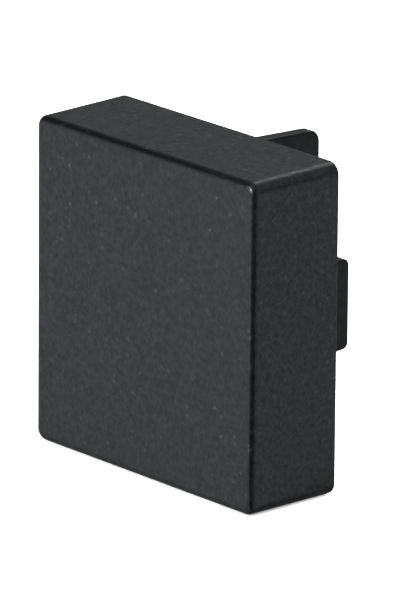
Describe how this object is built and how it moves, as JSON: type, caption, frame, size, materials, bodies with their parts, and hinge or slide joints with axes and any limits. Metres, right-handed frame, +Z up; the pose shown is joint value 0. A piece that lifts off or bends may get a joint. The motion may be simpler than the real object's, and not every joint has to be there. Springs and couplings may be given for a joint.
{
  "type": "profile end cap",
  "caption": "Boxy plug-in end cap for a hollow profile: flat grained face, rounded edges, cored-out back, tall centre blade and short side blades.",
  "frame": {"origin": "centre of the rim that seats on the end of the profile, on the axis of the centre blade", "axes": "+X across the width, +Y from the rim into the profile, +Z up, show face towards -Y"},
  "size_m": [0.038, 0.0267, 0.04],
  "materials": {
    "cap_plastic": "black glass-filled nylon with a fine moulded grain"
  },
  "bodies": {
    "root": {"end_cap": "cap_plastic"}
  },
  "joints": []
}
